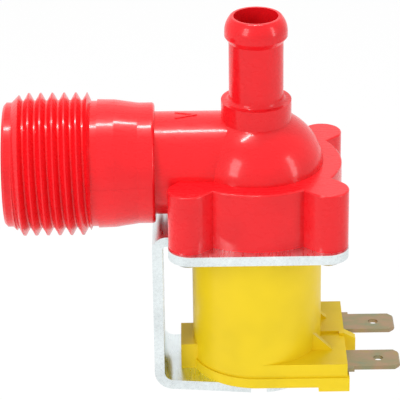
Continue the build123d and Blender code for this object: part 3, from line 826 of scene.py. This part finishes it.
def floor_finish():
    """Plain white floor that keeps the shadow."""
    material, tree, shader, _ = new_finish("pale_floor")
    shader.inputs["Base Color"].default_value = (0.90, 0.90, 0.90, 1)
    shader.inputs["Roughness"].default_value = 0.9
    glow = tree.nodes.new("ShaderNodeEmission")
    glow.inputs["Strength"].default_value = 1.0
    blend = tree.nodes.new("ShaderNodeMixShader")
    share = maths(tree, "MULTIPLY", seen_by_camera(tree), SHOWN_BY_GLOW)
    tree.links.new(share, blend.inputs["Fac"])
    tree.links.new(shader.outputs["BSDF"], blend.inputs[1])
    tree.links.new(glow.outputs["Emission"], blend.inputs[2])
    tree.links.new(blend.outputs["Shader"], tree.nodes["Material Output"].inputs["Surface"])
    return material


def white_world(scene):
    """An even sky: white where it is seen, and dimmer as light."""
    world = bpy.data.worlds.new("studio_world")
    scene.world = world
    world.use_nodes = True
    tree = world.node_tree
    sky = tree.nodes["Background"]
    strength = spread(tree, seen_by_camera(tree), SKY_AS_LIGHT, 1.0, start=0.0, end=1.0)
    tree.links.new(strength, sky.inputs["Strength"])
    sky.inputs["Color"].default_value = (1, 1, 1, 1)


def softbox(name, aim, offset, size, power):
    """A rectangular area lamp, wide by high, that faces the valve."""
    data = bpy.data.lights.new(name, "AREA")
    data.shape = "RECTANGLE"
    data.size, data.size_y = size
    data.energy = power
    lamp = bpy.data.objects.new(name, data)
    bpy.context.scene.collection.objects.link(lamp)
    lamp.location = aim + Vector(offset)
    lamp.rotation_euler = (-Vector(offset)).to_track_quat("-Z", "Y").to_euler()


# ------------------------------------------------------------------ operators


class VALVE_OT_body(bpy.types.Operator):
    """Give the valve body its red moulded finish"""

    bl_idname = "valve.body"
    bl_label = "Valve Body"

    def execute(self, context):
        finish_nodes(red_moulding(context.scene.valve_moulding), "valve_body")
        return {"FINISHED"}


class VALVE_OT_bracket(bpy.types.Operator):
    """Give the yoke bracket its zinc plate"""

    bl_idname = "valve.bracket"
    bl_label = "Yoke Bracket"

    def execute(self, context):
        finish_nodes(zinc_plate(context.scene.valve_metal), "yoke_bracket")
        return {"FINISHED"}


class VALVE_OT_coil(bpy.types.Operator):
    """Give the coil's housing, bobbin, tape and pole sleeves their finishes"""

    bl_idname = "valve.coil"
    bl_label = "Coil"

    def execute(self, context):
        finish_nodes(yellow_encapsulation(context.scene.valve_moulding), "coil_housing")
        nylon = moulded("bobbin_nylon", (0.72, 0.69, 0.60), roughness=0.45)[0]
        finish_nodes(nylon, "coil_bobbin")
        tape = moulded("polyester_tape", (0.52, 0.33, 0.09), roughness=0.30)[0]
        finish_nodes(tape, "winding_tape")
        steel = metal("pole_steel", (0.45, 0.45, 0.46), roughness=0.42)[0]
        finish_nodes(steel, "upper_pole_sleeve", "lower_pole_sleeve")
        return {"FINISHED"}


class VALVE_OT_terminals(bpy.types.Operator):
    """Give the flat terminals their passivated finish"""

    bl_idname = "valve.terminals"
    bl_label = "Terminals"

    def execute(self, context):
        brass = terminal_brass(context.scene.valve_metal)
        finish_nodes(brass, "terminal_front", "terminal_rear")
        return {"FINISHED"}


class VALVE_OT_pilot(bpy.types.Operator):
    """Give the guide, plunger and diaphragm their finishes"""

    bl_idname = "valve.pilot"
    bl_label = "Pilot Stage"

    def execute(self, context):
        nylon = moulded("natural_nylon", (0.74, 0.71, 0.62), roughness=0.42)[0]
        rubber = black_rubber()
        finish_nodes(nylon, "plunger_guide", "diaphragm_insert")
        finish_nodes(rubber, "plunger_tip", "flow_washer")
        steel = metal("plunger_steel", (0.60, 0.60, 0.61), roughness=0.25)[0]
        finish_nodes(steel, "plunger")
        flexing_diaphragm(rubber)
        return {"FINISHED"}


class VALVE_OT_spring(bpy.types.Operator):
    """Wind the plunger's return spring"""

    bl_idname = "valve.spring"
    bl_label = "Return Spring"

    def execute(self, context):
        sizes = context.scene.valve_spring
        steel = metal("spring_wire", (0.62, 0.61, 0.60), roughness=0.28)[0]
        low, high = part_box("plunger_spring")
        middle = (low + high) / 2
        height = high.z - low.z - 2 * sizes.wire_radius
        spring = grown(
            "return_spring",
            spring_tree(steel),
            {
                "Mean Radius": (high.x - low.x) / 2 - sizes.wire_radius,
                "Wire Radius": sizes.wire_radius,
                "Height": height,
                "Turns": sizes.turns,
            },
        )
        foot = Vector((middle.x, middle.y, low.z + sizes.wire_radius))
        spring.data.transform(Matrix.Translation(foot))
        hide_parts("plunger_spring")
        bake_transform(spring)
        return {"FINISHED"}


class VALVE_OT_strainer(bpy.types.Operator):
    """Finish the strainer's cage and weave its screen"""

    bl_idname = "valve.strainer"
    bl_label = "Inlet Strainer"

    def execute(self, context):
        sizes = context.scene.valve_screen
        cage = moulded("strainer_nylon", (0.78, 0.78, 0.74), roughness=0.45)[0]
        finish_nodes(cage, "strainer_frame", "washer_holder")
        wire = metal("screen_wire", (0.62, 0.61, 0.58), roughness=0.32)[0]
        low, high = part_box("strainer_screen")
        middle = (low + high) / 2
        radius = (high.y - low.y) / 2 - 2 * sizes.wire_radius
        length = high.x - low.x - 2 * sizes.wire_radius
        screen = grown(
            "woven_screen",
            woven_screen_tree(wire),
            {
                "Screen Radius": radius,
                "Screen Length": length,
                "Wire Radius": sizes.wire_radius,
                "Hoops": sizes.hoops,
                "Rods": sizes.rods,
            },
        )
        start = Vector((low.x + sizes.wire_radius, middle.y, middle.z))
        screen.data.transform(Matrix.Translation(start) @ Matrix.Rotation(math.pi / 2, 4, "Y"))
        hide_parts("strainer_screen")
        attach(screen, "valve")
        return {"FINISHED"}


class VALVE_OT_winding(bpy.types.Operator):
    """Wind the coil's copper and finish its leads"""

    bl_idname = "valve.winding"
    bl_label = "Copper Winding"

    def execute(self, context):
        sizes = context.scene.valve_winding
        copper = metal(
            "enamelled_copper", (0.70, 0.30, 0.14), roughness=0.24, brushing=(6000, 6000, 500)
        )[0]
        finish_nodes(copper, "winding_leads")
        low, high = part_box("coil_winding")
        middle = (low + high) / 2
        outer_radius = (high.x - low.x) / 2
        mean_radius = outer_radius - sizes.wire_radius
        height = high.z - low.z
        winding = grown(
            "wound_copper",
            wound_layer_tree(copper),
            {
                "Mean Radius": mean_radius,
                "Wire Radius": sizes.wire_radius,
                "Height": height - 2 * sizes.wire_radius,
                "Turns": int(height / (2 * sizes.wire_radius)),
            },
        )
        foot = Vector((middle.x, middle.y, low.z + sizes.wire_radius))
        winding.data.transform(Matrix.Translation(foot))
        core = winding_core(outer_radius - sizes.depth, mean_radius, low.z, high.z)
        core.transform(Matrix.Translation((middle.x, middle.y, 0)))
        core_piece = new_piece("winding_core", core, copper)
        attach(core_piece, "valve")
        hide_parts("coil_winding")
        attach(winding, "valve")
        return {"FINISHED"}


class VALVE_OT_screws(bpy.types.Operator):
    """Make the four thread-forming screws that clamp the body to the bracket"""

    bl_idname = "valve.screws"
    bl_label = "Body Screws"

    def execute(self, context):
        sizes = context.scene.valve_screws
        low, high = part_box("body_screws")
        middle = (low + high) / 2
        template = carved_screw(sizes, high.z - low.z)
        plating = metal(
            "screw_zinc", (0.66, 0.68, 0.69), roughness=0.30, brushing=(2500, 2500, 400)
        )[0]
        screws = grown(
            "pan_head_screws",
            screw_square_tree(plating),
            {
                "Pitch X": high.x - low.x - 2 * sizes.head_radius,
                "Pitch Y": high.y - low.y - 2 * sizes.head_radius,
                "Screw": template,
            },
        )
        bpy.data.objects.remove(template)
        screws.data.transform(Matrix.Translation((middle.x, middle.y, low.z)))
        screws.data.polygons.foreach_set("use_smooth", [False] * len(screws.data.polygons))
        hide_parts("body_screws")
        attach(screws, "valve")
        return {"FINISHED"}


class VALVE_OT_stage(bpy.types.Operator):
    """Set the floor, the studio light and the camera"""

    bl_idname = "valve.stage"
    bl_label = "Studio"

    def execute(self, context):
        scene = context.scene
        studio = scene.valve_studio
        aim = Vector(studio.aim)
        studio_floor(studio)
        white_world(scene)
        softbox("overhead_strip", aim, (-0.05, 0.08, 0.80), size=(0.55, 0.06), power=4.4)
        softbox("left_softbox", aim, (-0.60, -0.70, 0.40), size=(0.30, 0.60), power=3.7)
        softbox("right_softbox", aim, (0.80, -0.35, 0.25), size=(0.15, 0.60), power=1.8)
        scene.camera = studio_camera(studio, aim)
        scene.view_settings.view_transform = "Standard"
        return {"FINISHED"}


class VALVE_PT_panel(bpy.types.Panel):
    """Lists the valve's pieces and their settings"""

    bl_idname = "VALVE_PT_panel"
    bl_label = "Solenoid Valve"
    bl_space_type = "VIEW_3D"
    bl_region_type = "UI"
    bl_category = "Valve"

    def draw(self, context):
        layout = self.layout
        for name in OPERATORS:
            layout.operator("valve." + name)
        for group in SETTINGS:
            box = layout.box()
            settings = getattr(context.scene, group)
            for key in settings.bl_rna.properties.keys():
                if key not in ("rna_type", "name"):
                    box.prop(settings, key)


OPERATORS = (
    "body",
    "bracket",
    "coil",
    "terminals",
    "pilot",
    "spring",
    "strainer",
    "winding",
    "screws",
    "stage",
)
SETTINGS = {
    "valve_moulding": MouldingSettings,
    "valve_metal": MetalSettings,
    "valve_screws": ScrewSettings,
    "valve_screen": ScreenSettings,
    "valve_winding": WindingSettings,
    "valve_spring": SpringSettings,
    "valve_studio": StudioSettings,
}
CLASSES = (
    *SETTINGS.values(),
    VALVE_OT_body,
    VALVE_OT_bracket,
    VALVE_OT_coil,
    VALVE_OT_terminals,
    VALVE_OT_pilot,
    VALVE_OT_spring,
    VALVE_OT_strainer,
    VALVE_OT_winding,
    VALVE_OT_screws,
    VALVE_OT_stage,
    VALVE_PT_panel,
)


def register():
    for item in CLASSES:
        bpy.utils.register_class(item)
    for name, group in SETTINGS.items():
        setattr(bpy.types.Scene, name, PointerProperty(type=group))


def unregister():
    for name in SETTINGS:
        delattr(bpy.types.Scene, name)
    for item in reversed(CLASSES):
        bpy.utils.unregister_class(item)


def main():
    register()
    for name in OPERATORS:
        getattr(bpy.ops.valve, name)()


if __name__ == "__main__":
    main()
